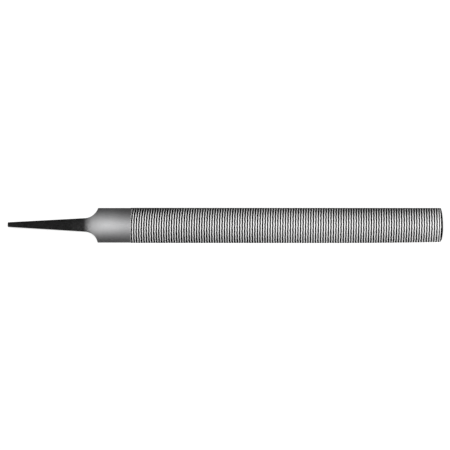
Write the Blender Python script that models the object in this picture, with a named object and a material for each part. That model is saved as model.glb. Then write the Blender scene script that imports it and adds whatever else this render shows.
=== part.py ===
"""Half round file with milled teeth, for a handle that is driven onto its tang.

The file lies on its flat side along X: tang towards -X, tip towards +X, flat side on Z = 0, round side up.
It is one forging. Three solids follow its changes of form and finish, and meet face to face: the black tang,
the ground heel with its two shoulders, and the hardened blade with teeth on the round and the flat side.
"""
import math

import bmesh
import bpy

# Driving dimensions of the whole file, in metres
BODY_LENGTH = 0.3000  # shoulder corners to tip
TANG_LENGTH = 0.0778  # end of the tang to the shoulder corners
HEEL_LENGTH = 0.0287  # shoulder corners to the blade
BLADE_WIDTH = 0.0310
ROUND_RISE = 0.00745  # crest of the round side above the two long edges
EDGE_LAND = 0.00055  # height of the blade's two long edges

# Heel and shoulders
HEEL_STEP = 0.00025  # each side of the heel is ground this much inside the blade's side
SHOULDER_RADIUS = 0.0116
SHOULDER_CORNER = 0.0002  # chamfer of the two shoulder corners, seen from above
CREST_RAMP = 0.0080  # the crest rises from the root of the tang to this far past the shoulder corners
HEEL_EDGE = 0.00012  # broken edges of the ground heel

# Tang
TANG_ROOT_WIDTH = 0.0116
TANG_END_WIDTH = 0.0039
TANG_ROOT_THICKNESS = 0.0046
TANG_END_THICKNESS = 0.0030
TANG_ROOT_LIFT = 0.0003  # underside of the tang above the plane of the flat side, at its root
TANG_END_LIFT = 0.0025  # and at its end, which stays near the middle of the thickness
TANG_EDGE = 0.0005  # broken edges of the forged tang

# Teeth
TOOTH_PITCH = 0.002193
FIRST_TOOTH = 0.00040  # plain start of the blade, up to the first cutting edge
FIRST_PITCH = 0.00187  # first to second cutting edge, where the gullet is shorter and less deep
TOOTH_DEPTH = 0.00070  # on the round side
FLAT_TOOTH_DEPTH = 0.00050
EDGE_TOOTH_DEPTH = 0.00025  # where the gullets of the round side run out at the long edges
ROUND_RUNOUT = 0.0009  # distance round the arc, from the long edges, in which those gullets run out
FLAT_RUNOUT = 0.0012  # distance from the long edges in which the gullets of the flat side run out
TOOTH_LEAN = 0.034  # a cutting edge runs this far forward for each unit across
TOOTH_TILT = 0.065  # and this far forward for each unit down from the crest
FACE_FOOT_SHARE = 0.14  # foot of the cutting face, as a share of the pitch after the cutting edge
GULLET_END_SHARE = 0.42  # where the gullet ends and the back of the next tooth begins
GULLET_END_DEPTH_SHARE = 0.90  # depth there, as a share of the full depth

# Tip, seen from above
NEAR_TAPER_LENGTH = 0.0986  # over this length before the tip the long edge towards -Y draws in
NEAR_TAPER = 0.0010  # by this much, along a shallow curve
NEAR_RELIEF_LENGTH = 0.0005  # the end then falls back a little towards that edge, along X
NEAR_RELIEF_WIDTH = 0.0082  # and across
NEAR_CORNER_LENGTH = 0.0013  # worn-off corner between the two, along X
NEAR_CORNER_WIDTH = 0.0029  # and across
FAR_CORNER = 0.0004  # chamfer of the corner towards +Y

# Counts
BLADE_ARC_STEPS = 10
HEEL_ARC_STEPS = 22
SHOULDER_STEPS = 12
RAMP_STEPS = 5
SMOOTH_ANGLE = math.radians(25)

# Sizes worked out from the driving dimensions
BLADE_HALF = BLADE_WIDTH / 2
HEEL_HALF = BLADE_HALF - HEEL_STEP
TANG_ROOT_HALF = TANG_ROOT_WIDTH / 2
TANG_END_HALF = TANG_END_WIDTH / 2
THICKNESS = EDGE_LAND + ROUND_RISE
ROUND_RADIUS = (BLADE_HALF ** 2 + ROUND_RISE ** 2) / (2 * ROUND_RISE)
TANG_ROOT_CREST = TANG_ROOT_LIFT + TANG_ROOT_THICKNESS


def smooth(share):
    """Ease from 0 to 1, level at both ends."""
    held = min(max(share, 0), 1)
    return held * held * (3 - 2 * held)


def arc_height(crest, across):
    """Height of the round side at a distance from the centre line. A lower crest flattens the whole arc."""
    fall = ROUND_RADIUS - math.sqrt(ROUND_RADIUS ** 2 - across ** 2)
    return crest - (crest - EDGE_LAND) * fall / ROUND_RISE


def shoulder_outline():
    """Stations (x, half width) from the tang's root to the full heel, with x = 0 at the shoulder corners."""
    straight = TANG_LENGTH - SHOULDER_RADIUS
    taper = math.atan2(TANG_ROOT_HALF - TANG_END_HALF, straight)
    arc_centre = TANG_ROOT_HALF + SHOULDER_RADIUS * math.cos(taper)
    arc_top = min(arc_centre, HEEL_HALF - SHOULDER_CORNER)
    last = math.acos((arc_centre - arc_top) / SHOULDER_RADIUS)
    angles = [taper + (last - taper) * step / SHOULDER_STEPS for step in range(SHOULDER_STEPS + 1)]
    arc_end = SHOULDER_RADIUS * math.sin(last)
    stations = []
    for angle in angles:
        along = SHOULDER_RADIUS * math.sin(angle) - arc_end
        stations.append((along, arc_centre - SHOULDER_RADIUS * math.cos(angle)))
    if arc_top < HEEL_HALF - SHOULDER_CORNER:
        stations.append((0, HEEL_HALF - SHOULDER_CORNER))
    stations.append((SHOULDER_CORNER, HEEL_HALF))
    return stations


def forged_ring(along, half_width, bottom, crest, edge):
    """One cross-section of the heel or the tang: round top, upright sides, flat bottom and broken edges."""
    inner = half_width - edge
    spread = math.asin(inner / ROUND_RADIUS)
    ring = []
    for step in range(HEEL_ARC_STEPS + 1):
        across = ROUND_RADIUS * math.sin(spread - 2 * spread * step / HEEL_ARC_STEPS)
        ring.append((along, across, arc_height(crest, across)))
    shoulder = arc_height(crest, half_width) - edge
    ring.append((along, -half_width, shoulder))
    ring.append((along, -half_width, bottom + edge))
    ring.append((along, -inner, bottom))
    ring.append((along, inner, bottom))
    ring.append((along, half_width, bottom + edge))
    ring.append((along, half_width, shoulder))
    return ring


def skin(rings):
    """A closed mesh through cross-sections that have as many points each, with a cap at both ends."""
    mesh = bmesh.new()
    loops = [[mesh.verts.new(point) for point in ring] for ring in rings]
    for near, far in zip(loops, loops[1:]):
        for index in range(len(near)):
            after = (index + 1) % len(near)
            mesh.faces.new((near[index], near[after], far[after], far[index]))
    mesh.faces.new(loops[0])
    mesh.faces.new(loops[-1])
    bmesh.ops.recalc_face_normals(mesh, faces=mesh.faces)
    return mesh


def cut_off(mesh, point, normal):
    """Saw a closed mesh at a plane, take away what lies beyond it, and close the cut."""
    geometry = list(mesh.verts) + list(mesh.edges) + list(mesh.faces)
    cut = bmesh.ops.bisect_plane(mesh, geom=geometry, plane_co=point, plane_no=normal, clear_outer=True)
    edges = [item for item in cut["geom_cut"] if isinstance(item, bmesh.types.BMEdge)]
    bmesh.ops.holes_fill(mesh, edges=edges)
    bmesh.ops.recalc_face_normals(mesh, faces=mesh.faces)


def steel(name, colour, roughness):
    """A bare metal material of one colour and roughness."""
    material = bpy.data.materials.new(name)
    material.use_nodes = True
    shader = material.node_tree.nodes["Principled BSDF"]
    shader.inputs["Base Color"].default_value = (*colour, 1)
    shader.inputs["Roughness"].default_value = roughness
    shader.inputs["Metallic"].default_value = 1
    material.diffuse_color = (*colour, 1)
    return material


def place(name, mesh, material, parent, along):
    """Turn a mesh into a named, smoothly shaded object at its place along the file."""
    data = bpy.data.meshes.new(name)
    mesh.to_mesh(data)
    mesh.free()
    data.materials.append(material)
    data.shade_smooth()
    data.set_sharp_from_angle(angle=SMOOTH_ANGLE)
    part = bpy.data.objects.new(name, data)
    bpy.context.collection.objects.link(part)
    part.parent = parent
    part.location.x = along
    return part


def heel_mesh(stations):
    """The plain ground length, whose shoulders curve in to the tang. Its blade end is at x = 0."""
    root = stations[0][0]
    corner = stations[-1][0]
    ramp_step = (CREST_RAMP - corner) / RAMP_STEPS
    ramp = [(corner + ramp_step * step, HEEL_HALF) for step in range(1, RAMP_STEPS + 1)]
    rings = []
    for along, half_width in stations + ramp:
        spread = smooth((along - root) / (corner - root))
        rise = smooth((along - root) / (CREST_RAMP - root))
        bottom = TANG_ROOT_LIFT * (1 - spread)
        edge = TANG_EDGE + (HEEL_EDGE - TANG_EDGE) * spread
        crest = TANG_ROOT_CREST + (THICKNESS - TANG_ROOT_CREST) * rise
        rings.append(forged_ring(along - HEEL_LENGTH, half_width, bottom, crest, edge))
    rings.append(forged_ring(0, HEEL_HALF, 0, THICKNESS, HEEL_EDGE))
    return skin(rings)


def tang_mesh(length):
    """The tapered tang. Its root is at x = 0 and its square end at -length."""
    end_crest = TANG_END_LIFT + TANG_END_THICKNESS
    chamfer = TANG_EDGE / 2
    end_half = TANG_END_HALF - chamfer
    rings = [
        forged_ring(-length, end_half, TANG_END_LIFT + chamfer, end_crest - chamfer, chamfer),
        forged_ring(chamfer - length, TANG_END_HALF, TANG_END_LIFT, end_crest, TANG_EDGE),
        forged_ring(0, TANG_ROOT_HALF, TANG_ROOT_LIFT, TANG_ROOT_CREST, TANG_EDGE),
    ]
    return skin(rings)


def blade_points():
    """The blade's outline across: (y, z), the direction into the steel and the depth of a gullet there."""
    edge = math.asin(BLADE_HALF / ROUND_RADIUS)
    full = edge - ROUND_RUNOUT / ROUND_RADIUS
    arc = [(edge, EDGE_TOOTH_DEPTH)]
    for step in range(BLADE_ARC_STEPS + 1):
        arc.append((full - 2 * full * step / BLADE_ARC_STEPS, TOOTH_DEPTH))
    arc.append((-edge, EDGE_TOOTH_DEPTH))
    points = []
    for angle, depth in arc:
        across = ROUND_RADIUS * math.sin(angle)
        inward = (-math.sin(angle), -math.cos(angle))
        points.append((across, arc_height(THICKNESS, across), inward, depth))
    inset = BLADE_HALF - FLAT_RUNOUT
    flat = [(-BLADE_HALF, 0), (-inset, FLAT_TOOTH_DEPTH)]
    flat += [(inset, FLAT_TOOTH_DEPTH), (BLADE_HALF, 0)]
    for across, depth in flat:
        points.append((across, 0, (0, 1), depth))
    return points


def drawn_in(across, before_tip):
    """Distance across of a point on the blade, once the edge towards -Y draws in before the tip."""
    share = max(1 - before_tip / NEAR_TAPER_LENGTH, 0)
    if across < 0:
        across *= 1 - NEAR_TAPER / BLADE_HALF * share ** 2
    return across


def tooth_ring(points, along, depth_share, tip):
    """One cross-section of the toothed length. It leans and tilts forward, as the cutter left it."""
    ring = []
    for across, height, inward, depth in points:
        forward = along + TOOTH_LEAN * across + TOOTH_TILT * (THICKNESS - height)
        cut = depth * depth_share
        aside = drawn_in(across + inward[0] * cut, tip - forward)
        ring.append((forward, aside, height + inward[1] * cut))
    return ring


def cut_corner(mesh, tip, edge, back, inward):
    """Saw off a corner of the tip, this far back along X and this far inward from the edge's y."""
    side = math.copysign(1, edge)
    cut_off(mesh, (tip - back, edge, 0), (inward, side * back, 0))


def finish_tip(mesh, tip):
    """Saw the blade to length and shape the corners of its end."""
    near_edge = NEAR_TAPER - BLADE_HALF
    cut_off(mesh, (tip, 0, 0), (1, 0, 0))
    cut_corner(mesh, tip, BLADE_HALF, FAR_CORNER, FAR_CORNER)
    cut_corner(mesh, tip, near_edge, NEAR_RELIEF_LENGTH, NEAR_RELIEF_WIDTH)
    cut_corner(mesh, tip, near_edge, NEAR_CORNER_LENGTH, NEAR_CORNER_WIDTH)


def blade_mesh(length):
    """The toothed length: cutting edge, steep face to the gullet, long back to the next edge."""
    points = blade_points()
    overrun = TOOTH_PITCH + TOOTH_LEAN * BLADE_HALF
    rings = [[(0, across, height) for across, height, inward, depth in points]]
    along = FIRST_TOOTH
    pitch = FIRST_PITCH
    while along < length + overrun:
        cut = pitch / TOOTH_PITCH
        rings.append(tooth_ring(points, along, 0, length))
        rings.append(tooth_ring(points, along + FACE_FOOT_SHARE * pitch, cut, length))
        back = along + GULLET_END_SHARE * pitch
        rings.append(tooth_ring(points, back, cut * GULLET_END_DEPTH_SHARE, length))
        along += pitch
        pitch = TOOTH_PITCH
    rings.append(tooth_ring(points, along, 0, length))
    mesh = skin(rings)
    finish_tip(mesh, length)
    return mesh


def clear_scene():
    """Take away whatever the scene holds."""
    for item in list(bpy.data.objects):
        bpy.data.objects.remove(item, do_unlink=True)


def build_file():
    """Make the three solids, centred on X, under one empty."""
    root = bpy.data.objects.new("half_round_file", None)
    bpy.context.collection.objects.link(root)
    root.location.x = (TANG_LENGTH - BODY_LENGTH) / 2
    stations = shoulder_outline()
    tang_root = stations[0][0]
    black = steel("black tang steel", (0.018, 0.018, 0.019), 0.55)
    ground = steel("ground heel steel", (0.42, 0.42, 0.43), 0.38)
    milled = steel("milled tooth steel", (0.50, 0.50, 0.51), 0.30)
    place("tang", tang_mesh(TANG_LENGTH + tang_root), black, root, tang_root)
    place("heel", heel_mesh(stations), ground, root, HEEL_LENGTH)
    place("blade", blade_mesh(BODY_LENGTH - HEEL_LENGTH), milled, root, HEEL_LENGTH)


clear_scene()
build_file()
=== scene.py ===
"""Looks of the half round file: fine meshes, steel finishes with painted light and shade, pale floor, soft
light and camera.
"""
import math

import bmesh
import bpy
from mathutils import Matrix, Vector


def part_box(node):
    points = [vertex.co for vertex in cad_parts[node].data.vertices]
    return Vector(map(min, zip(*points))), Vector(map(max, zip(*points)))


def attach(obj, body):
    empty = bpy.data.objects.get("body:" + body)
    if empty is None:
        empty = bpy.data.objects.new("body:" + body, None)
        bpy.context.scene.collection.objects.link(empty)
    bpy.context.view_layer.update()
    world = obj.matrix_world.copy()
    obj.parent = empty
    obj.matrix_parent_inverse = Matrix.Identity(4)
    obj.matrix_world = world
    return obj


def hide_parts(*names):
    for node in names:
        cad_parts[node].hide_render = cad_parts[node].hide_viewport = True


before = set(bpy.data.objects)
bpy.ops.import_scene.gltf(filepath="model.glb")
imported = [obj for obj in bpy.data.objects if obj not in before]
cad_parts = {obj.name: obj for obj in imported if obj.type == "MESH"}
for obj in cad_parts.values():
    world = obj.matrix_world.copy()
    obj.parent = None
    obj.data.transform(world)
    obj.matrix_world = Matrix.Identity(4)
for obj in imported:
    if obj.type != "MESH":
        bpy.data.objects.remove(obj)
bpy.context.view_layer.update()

# The frame's boxes give the main sizes
TANG_LOW, TANG_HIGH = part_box("tang")
HEEL_LOW, HEEL_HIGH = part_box("heel")
BLADE_LOW, BLADE_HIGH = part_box("blade")
CREST = BLADE_HIGH.z
BLADE_HALF = BLADE_HIGH.y
HEEL_HALF = HEEL_HIGH.y
BLADE_START = BLADE_LOW.x
TIP = BLADE_HIGH.x
TANG_ROOT = TANG_HIGH.x
TANG_END = TANG_LOW.x
TANG_ROOT_HALF = TANG_HIGH.y
TANG_ROOT_LOW = TANG_LOW.z
TANG_END_CREST = TANG_HIGH.z

# Round side, shoulders and tang, in metres
EDGE_LAND = 0.00055  # height of the long edges above the flat side
HEEL_LENGTH = 0.0287
SHOULDER_RADIUS = 0.0116
SHOULDER_CORNER = 0.0002  # small chamfer where a shoulder meets the long edge
CREST_RAMP = 0.0080  # the crest rises from the tang's root to this far past the shoulder corners
HEEL_EDGE = 0.00012  # the heel's broken edges
TANG_ROOT_CREST = 0.0049
TANG_END_LOW = 0.0025  # height of the tang's underside at its end
TANG_END_HALF = 0.00195
TANG_EDGE = 0.0005  # the tang's broken edges
EDGE_WEAR_AND_LIFT = 0.0018  # how far the wear and the painted lift reach in from the long edges

# Teeth
TOOTH_PITCH = 0.002195
FIRST_TOOTH = 0.00040  # from the start of the blade to the first cutting edge
FIRST_LAND = 0.00029  # bright land behind the first cutting edge
START_STRIP = 0.00002  # it starts at least this far past the start of the blade
FIRST_PITCH = 0.00204  # the first gullet is cut less deep, so it is shorter
CLOSER = 0.00003  # the teeth start this much closer
CLOSER_LENGTH = 0.050  # and widen to the full pitch over this length
LAST_BACK = 0.00042  # the last cutting edge lies this much further back
TOOTH_DEPTH = 0.00070
FLAT_TOOTH_DEPTH = 0.00050
EDGE_TOOTH_DEPTH = 0.00025
ROUND_RUNOUT = 0.0009  # the gullets of the round side get shallow over this distance before a long edge
FLAT_RUNOUT = 0.0012  # and those of the flat side run out
TOOTH_LEAN = 0.034  # how far the rows run forward across the file
LEAN_FALL = 0.014  # on the far side the lean of the first teeth falls by this much
LEAN_LENGTH = 0.100  # over this length
NEAR_LEAN_FALL = 0.007  # and on the near side by this much
SWING = 0.00006  # the cutting edges lie this much before or after an even pitch
SWING_LENGTH = 0.170  # in slow swings of this length
SWING_PLACE = -0.009  # where they lie furthest back
TOOTH_TILT = 0.065  # and down the round side
EDGE_SHARE = 0.02  # width of a cutting edge, as a share of the pitch
FACE_FOOT_SHARE = 0.14  # the steep face ends here, as a share of the pitch
FACE_FOOT_DEPTH = 0.9  # and at this share of the depth
GULLET_END_SHARE = 0.36
BACK_CURVE = 2.4  # a higher power flattens the long back near the next cutting edge
BREAKER_ALONG = 0.0186  # spacing of the chip-breaker waves along the file
BREAKER_ROUND = 0.0055  # and round the arc
BREAKER_START = 0.0043  # where one of them crosses the crest
BREAKER_SHIFT = 0.000095  # how far they move the cutting edges

# Tip, seen from above
NEAR_TAPER_LENGTH = 0.0986  # over this length before the tip the long edge towards -Y draws in
NEAR_TAPER = 0.0010
NEAR_CUTS = ((0.0005, 0.0082), (0.0013, 0.0029), (0.0018, 0.0010))  # its corner's facets: back, inward
FAR_CUT = (0.0004, 0.0004)

# Mesh fineness
FORGED_STEPS = 96
SHOULDER_STEPS = 40
HEEL_STEPS = 24
TANG_STEPS = 40
ARC_STEPS = 60
FLAT_STEPS = 4
RUNOUT_STEPS = 3
FACE_STEPS = 2
GULLET_STEPS = 3
BACK_STEPS = 4
SMOOTH_ANGLE = math.radians(40)

ROUND_RISE = CREST - EDGE_LAND
ROUND_RADIUS = (BLADE_HALF ** 2 + ROUND_RISE ** 2) / (2 * ROUND_RISE)
CORNER = BLADE_START - HEEL_LENGTH  # where the shoulders reach the full width
RAMP_END = CORNER + CREST_RAMP


def smooth(share):
    """Ease from 0 to 1, level at both ends."""
    held = min(max(share, 0), 1)
    return held * held * (3 - 2 * held)


def arc_height(crest, across):
    """Height of the round side at a distance from the centre line. A lower crest flattens the whole arc."""
    fall = ROUND_RADIUS - math.sqrt(ROUND_RADIUS ** 2 - across ** 2)
    return crest - (crest - EDGE_LAND) * fall / ROUND_RISE


def shoulder_outline():
    """Stations (x, half width) from the root of the tang to the full heel."""
    taper = math.atan2(TANG_ROOT_HALF - TANG_END_HALF, TANG_ROOT - TANG_END)
    arc_centre = TANG_ROOT_HALF + SHOULDER_RADIUS * math.cos(taper)
    last = math.acos((arc_centre - HEEL_HALF + SHOULDER_CORNER) / SHOULDER_RADIUS)
    stations = []
    for step in range(SHOULDER_STEPS + 1):
        angle = taper + (last - taper) * step / SHOULDER_STEPS
        along = CORNER + SHOULDER_RADIUS * (math.sin(angle) - math.sin(last))
        stations.append((along, arc_centre - SHOULDER_RADIUS * math.cos(angle)))
    stations.append((CORNER + SHOULDER_CORNER, HEEL_HALF))
    return stations


def forged_ring(along, half_width, bottom, crest, edge):
    """One cross-section of the heel or the tang: round top, upright sides, flat bottom and broken edges."""
    inner = half_width - edge
    spread = math.asin(inner / ROUND_RADIUS)
    ring = []
    for step in range(FORGED_STEPS + 1):
        across = ROUND_RADIUS * math.sin(spread - 2 * spread * step / FORGED_STEPS)
        ring.append((along, across, arc_height(crest, across)))
    shoulder = arc_height(crest, half_width) - edge
    ring.append((along, -half_width, shoulder))
    ring.append((along, -half_width, bottom + edge))
    ring.append((along, -inner, bottom))
    ring.append((along, inner, bottom))
    ring.append((along, half_width, bottom + edge))
    ring.append((along, half_width, shoulder))
    return ring


def mark_wear_and_lift(mesh, rings):
    """Give every point of the round top its nearness to the long edges, from 0 inside to 1 at the edge."""
    wear = mesh.verts.layers.float.new("wear_and_lift_share")
    mesh.verts.index_update()
    for vert in mesh.verts:
        ring = rings[vert.index // len(rings[0])]
        half_width = max(across for along, across, height in ring)
        vert[wear] = smooth(1 - (half_width - abs(vert.co.y)) / EDGE_WEAR_AND_LIFT)


def skin(rings):
    """A closed mesh through cross-sections that have as many points each, with a cap at both ends."""
    mesh = bmesh.new()
    loops = [[mesh.verts.new(point) for point in ring] for ring in rings]
    for near, far in zip(loops, loops[1:]):
        for index in range(len(near)):
            after = (index + 1) % len(near)
            mesh.faces.new((near[index], near[after], far[after], far[index]))
    mesh.faces.new(loops[0])
    mesh.faces.new(loops[-1])
    bmesh.ops.recalc_face_normals(mesh, faces=mesh.faces)
    return mesh


def cut_off(mesh, point, normal):
    """Saw a closed mesh at a plane, take away what lies beyond it, close the cut and mark it as an end."""
    geometry = list(mesh.verts) + list(mesh.edges) + list(mesh.faces)
    cut = bmesh.ops.bisect_plane(mesh, geom=geometry, plane_co=point, plane_no=normal, clear_outer=True)
    edges = [item for item in cut["geom_cut"] if isinstance(item, bmesh.types.BMEdge)]
    for face in bmesh.ops.holes_fill(mesh, edges=edges)["faces"]:
        face[mesh.faces.layers.float["end_share"]] = 1
    bmesh.ops.recalc_face_normals(mesh, faces=mesh.faces)


def cut_corner(mesh, edge, cut):
    """Saw off a corner of the tip, this far back along X and this far inward from the edge's y."""
    back, inward = cut
    cut_off(mesh, (TIP - back, edge, 0), (inward, math.copysign(back, edge), 0))


def heel_mesh():
    """The plain ground length with its two shoulders."""
    stations = shoulder_outline()
    root = stations[0][0]
    end = stations[-1][0]
    plain = (BLADE_START - end) / HEEL_STEPS
    for step in range(1, HEEL_STEPS + 1):
        stations.append((end + plain * step, HEEL_HALF))
    rings = []
    for along, half_width in stations:
        spread = smooth((along - root) / (end - root))
        bottom = TANG_ROOT_LOW * (1 - spread)
        edge = TANG_EDGE + (HEEL_EDGE - TANG_EDGE) * spread
        crest = TANG_ROOT_CREST + (CREST - TANG_ROOT_CREST) * smooth((along - root) / (RAMP_END - root))
        rings.append(forged_ring(along, half_width, bottom, crest, edge))
    mesh = skin(rings)
    mark_wear_and_lift(mesh, rings)
    return mesh


def tang_mesh():
    """The tapered tang with its square end."""
    chamfer = TANG_EDGE / 2
    start = TANG_END + chamfer
    end_half = TANG_END_HALF - chamfer
    rings = [forged_ring(TANG_END, end_half, TANG_END_LOW + chamfer, TANG_END_CREST - chamfer, chamfer)]
    for step in range(TANG_STEPS + 1):
        share = step / TANG_STEPS
        along = start + (TANG_ROOT - start) * share
        half_width = TANG_END_HALF + (TANG_ROOT_HALF - TANG_END_HALF) * share
        low = TANG_END_LOW + (TANG_ROOT_LOW - TANG_END_LOW) * share
        crest = TANG_END_CREST + (TANG_ROOT_CREST - TANG_END_CREST) * share
        rings.append(forged_ring(along, half_width, low, crest, TANG_EDGE))
    mesh = skin(rings)
    mark_wear_and_lift(mesh, rings)
    return mesh


def blade_points():
    """The blade's outline across: y, z, direction into the steel, gullet depth and distance round the arc."""
    edge = math.asin(BLADE_HALF / ROUND_RADIUS)
    full = edge - ROUND_RUNOUT / ROUND_RADIUS
    arc = []
    for step in range(RUNOUT_STEPS):
        share = step / RUNOUT_STEPS
        depth = EDGE_TOOTH_DEPTH + (TOOTH_DEPTH - EDGE_TOOTH_DEPTH) * share
        arc.append((edge + (full - edge) * share, depth))
    half = list(arc)
    for step in range(ARC_STEPS + 1):
        arc.append((full - 2 * full * step / ARC_STEPS, TOOTH_DEPTH))
    arc += [(-angle, depth) for angle, depth in reversed(half)]
    points = []
    for angle, depth in arc:
        across = ROUND_RADIUS * math.sin(angle)
        inward = (-math.sin(angle), -math.cos(angle))
        points.append((across, arc_height(CREST, across), inward, depth, angle * ROUND_RADIUS))
    inset = BLADE_HALF - FLAT_RUNOUT
    flat = [(-BLADE_HALF, 0)]
    for step in range(FLAT_STEPS + 1):
        flat.append((-inset + 2 * inset * step / FLAT_STEPS, FLAT_TOOTH_DEPTH))
    flat.append((BLADE_HALF, 0))
    for across, depth in flat:
        points.append((across, 0, (0, 1), depth, None))
    return points


def tooth_profile():
    """Shares of the pitch and of the depth from one cutting edge up to the next: face, gullet and back."""
    profile = []
    for step in range(FACE_STEPS):
        share = step / FACE_STEPS
        profile.append((FACE_FOOT_SHARE * share, FACE_FOOT_DEPTH * share))
    for step in range(GULLET_STEPS):
        share = step / GULLET_STEPS
        along = FACE_FOOT_SHARE + (GULLET_END_SHARE - FACE_FOOT_SHARE) * share
        profile.append((along, FACE_FOOT_DEPTH + (1 - FACE_FOOT_DEPTH) * math.sin(math.pi * share)))
    back = 1 - EDGE_SHARE - GULLET_END_SHARE
    for step in range(BACK_STEPS):
        share = step / BACK_STEPS
        profile.append((GULLET_END_SHARE + back * share, FACE_FOOT_DEPTH * (1 - share) ** BACK_CURVE))
    return profile


def drawn_in(across, before_tip):
    """Distance across of a point on the blade, once the edge towards -Y draws in before the tip."""
    share = max(1 - before_tip / NEAR_TAPER_LENGTH, 0)
    if across < 0:
        across *= 1 - NEAR_TAPER / BLADE_HALF * share ** 2
    return across


def tooth_ring(points, along, depth_share):
    """One cross-section of the toothed length."""
    ring = []
    eased = smooth((along - BLADE_START) / LEAN_LENGTH)
    for across, height, inward, depth, arc in points:
        fall = LEAN_FALL if across > 0 else NEAR_LEAN_FALL
        forward = along + (TOOTH_LEAN - fall * eased) * across + TOOTH_TILT * (CREST - height)
        if arc is not None:
            wave = 2 * math.pi * ((along - BREAKER_START) / BREAKER_ALONG - arc / BREAKER_ROUND)
            forward += BREAKER_SHIFT * math.sin(wave)
        forward = max(forward, BLADE_START + START_STRIP)
        cut = depth * depth_share
        aside = drawn_in(across + inward[0] * cut, TIP - forward)
        ring.append((forward, aside, height + inward[1] * cut))
    return ring


def cutting_edges():
    """Places of the cutting edges at the crest, from the first one to past the tip."""
    edges = [BLADE_START + FIRST_TOOTH]
    pitch = FIRST_PITCH
    while edges[-1] < TIP + TOOTH_PITCH + TOOTH_LEAN * BLADE_HALF:
        edges.append(edges[-1] + pitch)
        share = max(1 - (edges[-1] - BLADE_START) / CLOSER_LENGTH, 0)
        pitch = TOOTH_PITCH - CLOSER * share
    edges = [edge - SWING * math.cos(2 * math.pi * (edge - SWING_PLACE) / SWING_LENGTH) for edge in edges]
    last = max(index for index, edge in enumerate(edges) if edge < TIP)
    edges[last] -= LAST_BACK
    return edges


def blade_mesh():
    """The toothed length."""
    points = blade_points()
    profile = tooth_profile()
    edges = cutting_edges()
    rings = [[(BLADE_START, across, height) for across, height, inward, depth, arc in points]]
    rings.append(tooth_ring(points, edges[0] - FIRST_LAND, 0))
    shares = [(1, 1), (1, 1)]
    for along, after in zip(edges, edges[1:]):
        pitch = after - along
        rings.append(tooth_ring(points, along, 0))
        shares.append((1, 0))
        for share, depth_share in profile:
            depth = depth_share * min(pitch / TOOTH_PITCH, 1)
            rings.append(tooth_ring(points, along + (share + EDGE_SHARE) * pitch, depth))
            shares.append((share if after < TIP else 0, 0))
    mesh = skin(rings)
    tooth = mesh.verts.layers.float.new("tooth_share")
    plain = mesh.verts.layers.float.new("plain_share")
    mesh.verts.index_update()
    for vert in mesh.verts:
        vert[tooth], vert[plain] = shares[vert.index // len(points)]
    mesh.faces.layers.float.new("end_share")
    cut_off(mesh, (TIP, 0, 0), (1, 0, 0))
    cut_corner(mesh, BLADE_HALF, FAR_CUT)
    for cut in NEAR_CUTS:
        cut_corner(mesh, NEAR_TAPER - BLADE_HALF, cut)
    return mesh


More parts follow.
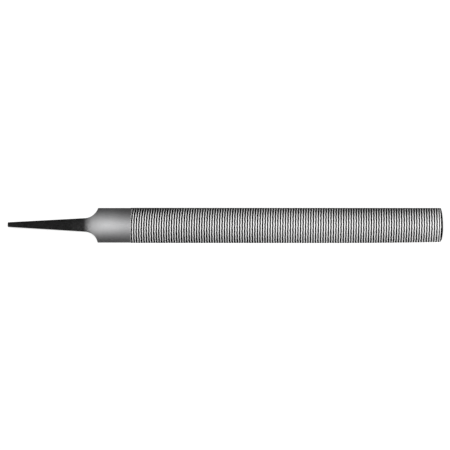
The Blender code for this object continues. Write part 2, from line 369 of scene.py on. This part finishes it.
class Nodes:
    """Short ways to build a material's node tree."""

    def __init__(self, name):
        self.material = bpy.data.materials.new(name)
        self.material.use_nodes = True
        self.tree = self.material.node_tree
        self.tree.nodes.clear()

    def add(self, kind, **settings):
        """A new node with the given settings."""
        node = self.tree.nodes.new(kind)
        for key, value in settings.items():
            setattr(node, key, value)
        return node

    def link(self, source, target):
        """Join an output to an input."""
        self.tree.links.new(source, target)

    def math(self, operation, first, second=0.0, third=0.0):
        """A Math node's output, from numbers or outputs."""
        node = self.add("ShaderNodeMath", operation=operation)
        for socket, value in zip(node.inputs, (first, second, third)):
            if isinstance(value, (int, float)):
                socket.default_value = value
            else:
                self.link(value, socket)
        return node.outputs[0]

    def ease(self, value, low, high):
        """0 below low, 1 above high, smooth between."""
        node = self.add("ShaderNodeMapRange", interpolation_type="SMOOTHSTEP")
        self.link(value, node.inputs["Value"])
        node.inputs["From Min"].default_value = low
        node.inputs["From Max"].default_value = high
        return node.outputs["Result"]

    def blend(self, share, first, second):
        """Mix two colours, given as tuples or outputs."""
        node = self.add("ShaderNodeMix", data_type="RGBA")
        self.link(share, node.inputs["Factor"])
        for socket, value in ((node.inputs[6], first), (node.inputs[7], second)):
            if isinstance(value, tuple):
                socket.default_value = (*value, 1)
            else:
                self.link(value, socket)
        return node.outputs[2]

    def scale(self, colour, factor):
        """A colour, given as a tuple or an output, made brighter or darker."""
        node = self.add("ShaderNodeVectorMath", operation="SCALE")
        if isinstance(colour, tuple):
            node.inputs[0].default_value = colour
        else:
            self.link(colour, node.inputs[0])
        self.link(factor, node.inputs["Scale"])
        return node.outputs[0]

    def noise(self, where, size, detail=2.0, stretch=(1, 1, 1)):
        """Even noise about zero, with spots of the given size in metres, drawn out by the stretch."""
        spread = self.add("ShaderNodeVectorMath", operation="MULTIPLY")
        self.link(where, spread.inputs[0])
        spread.inputs[1].default_value = [1 / (size * part) for part in stretch]
        node = self.add("ShaderNodeTexNoise")
        node.inputs["Scale"].default_value = 1
        node.inputs["Detail"].default_value = detail
        self.link(spread.outputs[0], node.inputs["Vector"])
        return self.math("SUBTRACT", node.outputs["Fac"], 0.5)

    def around(self, middle, *parts):
        """A number plus each (output, amount) pair."""
        for output, amount in parts:
            middle = self.math("MULTIPLY_ADD", output, amount, middle)
        return middle

    def bump(self, shader, *layers):
        """Stack bumps of (height, distance in metres) on the shader's normal."""
        normal = None
        for height, distance in layers:
            node = self.add("ShaderNodeBump")
            node.inputs["Distance"].default_value = distance
            self.link(height, node.inputs["Height"])
            if normal is not None:
                self.link(normal, node.inputs["Normal"])
            normal = node.outputs[0]
        self.link(normal, shader.inputs["Normal"])

    def place(self):
        """The point on the object, and the same split into its axes."""
        where = self.add("ShaderNodeTexCoord").outputs["Object"]
        axes = self.add("ShaderNodeSeparateXYZ")
        self.link(where, axes.inputs[0])
        return where, axes.outputs

    def carried(self, name):
        """A share that the mesh carries on its points or faces."""
        return self.add("ShaderNodeAttribute", attribute_name=name).outputs["Fac"]

    def metal(self, colour, rough):
        """A metal shader with this colour and roughness."""
        shader = self.add("ShaderNodeBsdfPrincipled")
        shader.inputs["Metallic"].default_value = 1
        self.link(rough, shader.inputs["Roughness"])
        self.link(colour, shader.inputs["Base Color"])
        return shader

    def finished(self, shader):
        """The material, with the shader as its surface."""
        out = self.add("ShaderNodeOutputMaterial")
        self.link(shader.outputs[0], out.inputs[0])
        return self.material


# Steel finishes, with painted light and shade
BLACK = (0.0083, 0.0083, 0.0083)
# scale worn thin, also painted lighter to lift the shade on the tang's edges
WORN_AND_LIT_BLACK = (0.0145, 0.0145, 0.0145)
# ground steel, painted lighter on the shoulder ramp and darker towards the teeth as light and shade along the
# heel
GROUND_SHOULDER_LIT = (0.435, 0.435, 0.44)
GROUND = (0.392, 0.392, 0.397)
GROUND_SHADED_NEAR_TEETH = (0.304, 0.304, 0.309)
GROUND_SIDE_SHADE = 0.33  # share of the tone that is left down both sides, painted as shade
GROUND_SIDE_SHADE_NEAR_TEETH = 0.41
GROUND_LEAN_SHADE = 10.0  # how much darker the far side is painted as shade, per metre
GROUND_LEAN_SHADE_NEAR_TEETH = 22.0
# steel of the lands, painted near white as the highlight on them
MILLED_HIGHLIGHT = (0.95, 0.95, 0.95)
# the gullets are painted near black as the shade in these recesses
GULLET_SHADE = (0.016, 0.016, 0.016)
GULLET_TONE = 2.5  # how much the cutter's chatter mottles it
END_STEEL = (0.17, 0.17, 0.175)
END_CHATTER = 0.8
END_SPECKLE = 0.5
SIDE_SHADE_LOW = 0.0018  # the heel's tone darkens between these heights, painted as shade down its sides
SIDE_SHADE_HIGH = 0.0077
SCALE_ROUGH = 0.55
HEEL_ROUGH = 0.65
BLADE_ROUGH = 0.78
GULLET_ROUGH = 0.42
PIT_ROUGH = 0.6
SPECKLE_ROUGH = 0.25
GRAIN_ROUGH = 0.10
MILL_ROUGH = 0.20
PLAIN_LOW = 0.5  # the plain strip before the first tooth gives way between these shares
PLAIN_HIGH = 0.9
# The painted highlight on the teeth grows where light falls and shrinks where shade falls, across and along
# the file
LAND_SHARE = 0.384  # share of a tooth painted bright as highlight at the crest of the round side
LAND_TILT = 0.5  # how much it changes across the file, per metre
LAND_RISE = 300.0  # how much it grows at first to both sides, with the square of metres
LAND_FALL = 3.8e6  # and then falls towards both long edges, with the fourth power of metres
LAND_EDGE = 0.0068  # beyond this it falls further towards the far long edge
LAND_EDGE_FALL = 0.17
LAND_START_EDGE = 0.004  # near the heel it falls still more beyond this
LAND_START_FALL = 0.085
LAND_START_LENGTH = 0.062  # less and less over this length
LAND_NEAR_EDGE = 0.003  # towards the tip it grows beyond this on the near side
LAND_NEAR_RISE = 0.06
LAND_NEAR_START = 0.015  # more and more between these places along the file
LAND_NEAR_END = 0.085
LAND_TIP_RISE = 0.025  # it grows by this much over the last stretch before the tip
LAND_TIP_LENGTH = 0.035
LAND_SWELL = 0.018  # it swells and shrinks slowly by this much
LAND_SWELL_LENGTH = 0.175
LAND_SWELL_START = 0.0127  # where it starts to swell above its middle
LAND_SOFT = 0.10  # how softly it starts
LAND_RAGGED = 0.16  # how much its dark side wanders
CHATTER_SIZE = 0.00035
SCALE_START = CORNER - 0.0128  # the black scale gives way between these
SCALE_END = CORNER - 0.0032
WORN_AND_LIT_START = CORNER - 0.029  # and is thin and painted lighter from here on
WORN_AND_LIT_END = CORNER - 0.012
WEAR_AND_LIFT_REACH = 0.006  # it is thin and painted lighter this much earlier along the long edges, lifting their shade
FADE_WOBBLE = 0.0012
CLOUD_SIZE = 0.0045
SPECKLE_SIZE = 0.0011
SPECKLE_DETAIL = 4
SPECKLE_TONE = 0.25
PIT_SIZE = 0.0005
PIT_DEPTH = 0.5
SCALE_CLOUD = 0.8  # how much cloud, speckle and pits mottle the scale
SCALE_SPECKLE = 1.2
SCALE_PITS = 1.6
FINE_DETAIL = 3
GRAIN_SIZE = 0.00016
GRAIN_STRETCH = (14, 1, 1)  # fine grinding lines along the file
GRAIN_TONE = 0.45
GRAIN_BUMP = 0.000008
SCALE_BUMP = 0.00012
MILL_STRETCH = (1, 20, 20)  # cutter marks along the teeth
MILL_TONE = 0.45
MILL_SPECKLE = 0.20
MILL_BUMP = 0.000012


def ground_tone_and_shade(n, axes, grain, speckle):
    """Fine ground steel with painted shade: darker down both sides, towards the teeth and a little towards
    the far side, and painted lighter on the shoulder ramp.
    """
    ramp = n.ease(axes["X"], CORNER, RAMP_END)
    teeth = n.ease(axes["X"], RAMP_END, BLADE_START)
    crest = n.blend(teeth, n.blend(ramp, GROUND_SHOULDER_LIT, GROUND), GROUND_SHADED_NEAR_TEETH)
    height = n.ease(axes["Z"], SIDE_SHADE_LOW, SIDE_SHADE_HIGH)
    foot = n.around(GROUND_SIDE_SHADE, (teeth, GROUND_SIDE_SHADE_NEAR_TEETH - GROUND_SIDE_SHADE))
    side = n.math("MULTIPLY_ADD", height, n.math("SUBTRACT", 1.0, foot), foot)
    lean = n.around(-GROUND_LEAN_SHADE, (teeth, GROUND_LEAN_SHADE - GROUND_LEAN_SHADE_NEAR_TEETH))
    lean = n.math("MULTIPLY_ADD", lean, axes["Y"], 1.0)
    tone = n.around(1.0, (grain, GRAIN_TONE), (speckle, SPECKLE_TONE))
    return n.scale(crest, n.math("MULTIPLY", n.math("MULTIPLY", side, lean), tone))


def forged_steel(name):
    """Black scale on the tang, thinner and painted lighter towards the heel and along its long edges to lift
    their shade, that gives way to fine ground steel on the heel with its painted shade.
    """
    n = Nodes(name)
    where, axes = n.place()
    wear = n.carried("wear_and_lift_share")
    grain = n.noise(where, GRAIN_SIZE, FINE_DETAIL, GRAIN_STRETCH)
    speckle = n.noise(where, SPECKLE_SIZE, SPECKLE_DETAIL)
    cloud = n.noise(where, CLOUD_SIZE)
    along = n.around(axes["X"], (cloud, FADE_WOBBLE))
    fade = n.ease(along, SCALE_START, SCALE_END)
    # thinner scale, partly painted light that lifts the shade along the long edges
    worn = n.ease(n.around(along, (wear, WEAR_AND_LIFT_REACH)), WORN_AND_LIT_START, WORN_AND_LIT_END)
    pits = n.noise(where, PIT_SIZE, FINE_DETAIL)
    scale_tone = n.around(1.0, (cloud, SCALE_CLOUD), (speckle, SCALE_SPECKLE), (pits, SCALE_PITS))
    black = n.scale(n.blend(worn, BLACK, WORN_AND_LIT_BLACK), scale_tone)
    ground = ground_tone_and_shade(n, axes, grain, speckle)
    rest = n.math("SUBTRACT", 1.0, fade)
    pitted = n.math("MULTIPLY", n.around(speckle, (pits, PIT_DEPTH)), rest)
    rough = n.around(HEEL_ROUGH, (rest, SCALE_ROUGH - HEEL_ROUGH), (pitted, PIT_ROUGH))
    rough = n.around(rough, (speckle, SPECKLE_ROUGH), (grain, GRAIN_ROUGH))
    shader = n.metal(n.blend(fade, black, ground), rough)
    n.bump(shader, (pitted, SCALE_BUMP), (grain, GRAIN_BUMP))
    return n.finished(shader)


def lit_land_share(n, axes):
    """The share of a tooth painted bright, which changes across the round side and slowly along the file as
    painted light and shade.
    """
    along = axes["X"]
    across = axes["Y"]
    tilt = n.math("MULTIPLY_ADD", across, -LAND_TILT, LAND_SHARE)
    square = n.math("MULTIPLY", across, across)
    land = n.math("MULTIPLY_ADD", square, n.math("MULTIPLY_ADD", square, -LAND_FALL, LAND_RISE), tilt)
    land = n.around(land, (n.ease(across, LAND_EDGE, BLADE_HALF), -LAND_EDGE_FALL))
    far = n.ease(across, LAND_START_EDGE, BLADE_HALF)
    start = n.ease(along, BLADE_START, BLADE_START + LAND_START_LENGTH)
    land = n.around(land, (far, -LAND_START_FALL), (n.math("MULTIPLY", far, start), LAND_START_FALL))
    near = n.ease(n.math("MULTIPLY", across, -1.0), LAND_NEAR_EDGE, BLADE_HALF)
    near = n.math("MULTIPLY", near, n.ease(along, LAND_NEAR_START, LAND_NEAR_END))
    turn = 2 * math.pi / LAND_SWELL_LENGTH
    swell = n.math("SINE", n.math("MULTIPLY_ADD", along, turn, -turn * LAND_SWELL_START))
    tip = n.ease(along, TIP - LAND_TIP_LENGTH, TIP)
    return n.around(land, (near, LAND_NEAR_RISE), (swell, LAND_SWELL), (tip, LAND_TIP_RISE))


def milled_steel(name):
    """Cutting edges painted bright as highlights over gullets painted dark as shade, with cutter marks along
    the teeth.
    """
    n = Nodes(name)
    where, axes = n.place()
    speckle = n.noise(where, SPECKLE_SIZE, SPECKLE_DETAIL)
    grain = n.noise(where, GRAIN_SIZE, FINE_DETAIL, GRAIN_STRETCH)
    marks = n.noise(where, GRAIN_SIZE, FINE_DETAIL, MILL_STRETCH)
    chatter = n.noise(where, CHATTER_SIZE)
    share = n.around(n.carried("tooth_share"), (chatter, LAND_RAGGED))
    reach = n.math("ADD", share, lit_land_share(n, axes))
    # the lands are painted bright as highlight, the rest of each tooth dark as shade
    bright = n.ease(reach, 1 - LAND_SOFT, 1 + LAND_SOFT)
    # gullets painted dark as shade, mottled by the cutter's chatter
    gullet = n.scale(GULLET_SHADE, n.around(1.0, (chatter, GULLET_TONE)))
    # lands painted near white as highlight, mottled by cutter marks and speckle
    milled = n.scale(MILLED_HIGHLIGHT, n.around(1.0, (marks, MILL_TONE), (speckle, MILL_SPECKLE)))
    end = n.scale(END_STEEL, n.around(1.0, (chatter, END_CHATTER), (speckle, END_SPECKLE)))
    toothed = n.blend(n.carried("end_share"), n.blend(bright, gullet, milled), end)
    plain = n.ease(n.carried("plain_share"), PLAIN_LOW, PLAIN_HIGH)
    rough = n.math("MULTIPLY_ADD", bright, BLADE_ROUGH - GULLET_ROUGH, GULLET_ROUGH)
    rough = n.math("MAXIMUM", rough, n.math("MULTIPLY", plain, HEEL_ROUGH))
    rough = n.around(rough, (speckle, MILL_ROUGH))
    shader = n.metal(n.blend(plain, toothed, ground_tone_and_shade(n, axes, grain, speckle)), rough)
    n.bump(shader, (marks, MILL_BUMP))
    return n.finished(shader)


def piece(name, mesh, material, node):
    """A finished mesh that stands for one node of the frame."""
    data = bpy.data.meshes.new(name)
    mesh.to_mesh(data)
    mesh.free()
    data.materials.append(material)
    data.shade_smooth()
    data.set_sharp_from_angle(angle=SMOOTH_ANGLE)
    made = bpy.data.objects.new(name, data)
    bpy.context.scene.collection.objects.link(made)
    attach(made, "root")
    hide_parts(node)


# Stage
FLOOR_SIZE = 60.0
FLOOR_COLOUR = (0.35, 0.35, 0.35)
FLOOR_GLOW = 0.68
WORLD_COLOUR = (0.10, 0.10, 0.10)
SOFTBOX_HEIGHT = 1.25
SOFTBOX_SIDE = 0.06
SOFTBOX_LENGTH = 2.4
SOFTBOX_WIDTH = 0.55
SOFTBOX_POWER = 27.0


def floor_material():
    """A pale floor: its own colour takes the light and the shadow, and a steady glow lifts it to white."""
    n = Nodes("pale floor")
    path = n.add("ShaderNodeLightPath")
    seen = n.math("ADD", path.outputs["Is Camera Ray"], path.outputs["Is Glossy Ray"])
    seen = n.math("ADD", seen, path.outputs["Is Transmission Ray"])
    glow = n.math("MULTIPLY", n.math("MINIMUM", seen, 1.0), FLOOR_GLOW)
    diffuse = n.add("ShaderNodeBsdfDiffuse")
    diffuse.inputs["Color"].default_value = (*FLOOR_COLOUR, 1)
    light = n.add("ShaderNodeEmission")
    n.link(glow, light.inputs["Strength"])
    both = n.add("ShaderNodeAddShader")
    n.link(diffuse.outputs[0], both.inputs[0])
    n.link(light.outputs[0], both.inputs[1])
    return n.finished(both)


def make_floor():
    """A wide plane that the file lies on."""
    mesh = bmesh.new()
    bmesh.ops.create_grid(mesh, x_segments=1, y_segments=1, size=FLOOR_SIZE / 2)
    data = bpy.data.meshes.new("floor")
    mesh.to_mesh(data)
    mesh.free()
    data.materials.append(floor_material())
    floor = bpy.data.objects.new("floor", data)
    bpy.context.scene.collection.objects.link(floor)


def make_light():
    """One long softbox overhead, in line with the file, and an even dim world."""
    lamp = bpy.data.lights.new("softbox", "AREA")
    lamp.shape = "RECTANGLE"
    lamp.size = SOFTBOX_LENGTH
    lamp.size_y = SOFTBOX_WIDTH
    lamp.energy = SOFTBOX_POWER
    softbox = bpy.data.objects.new("softbox", lamp)
    softbox.location = (0, SOFTBOX_SIDE, SOFTBOX_HEIGHT)
    bpy.context.scene.collection.objects.link(softbox)
    world = bpy.data.worlds.new("studio")
    world.use_nodes = True
    world.node_tree.nodes["Background"].inputs["Color"].default_value = (*WORLD_COLOUR, 1)
    bpy.context.scene.world = world


# Camera
CAMERA_PLACE = Vector((-0.0047, -0.14615, 1.0398))
CAMERA_AIM = Vector((-0.0002, 0.00035, 0))
CAMERA_LENS = 96.18


def make_camera():
    """The photograph's view: almost straight down on the round side."""
    data = bpy.data.cameras.new("camera")
    data.lens = CAMERA_LENS
    camera = bpy.data.objects.new("camera", data)
    camera.location = CAMERA_PLACE
    back = (CAMERA_PLACE - CAMERA_AIM).normalized()
    right = Vector((0, 1, 0)).cross(back).normalized()
    camera.rotation_euler = Matrix((right, back.cross(right), back)).transposed().to_euler()
    bpy.context.scene.collection.objects.link(camera)
    bpy.context.scene.camera = camera


steel = forged_steel("forged steel")
piece("forged_tang", tang_mesh(), steel, "tang")
piece("ground_heel", heel_mesh(), steel, "heel")
piece("milled_blade", blade_mesh(), milled_steel("milled steel"), "blade")
make_floor()
make_light()
make_camera()
bpy.context.scene.view_settings.view_transform = "Standard"
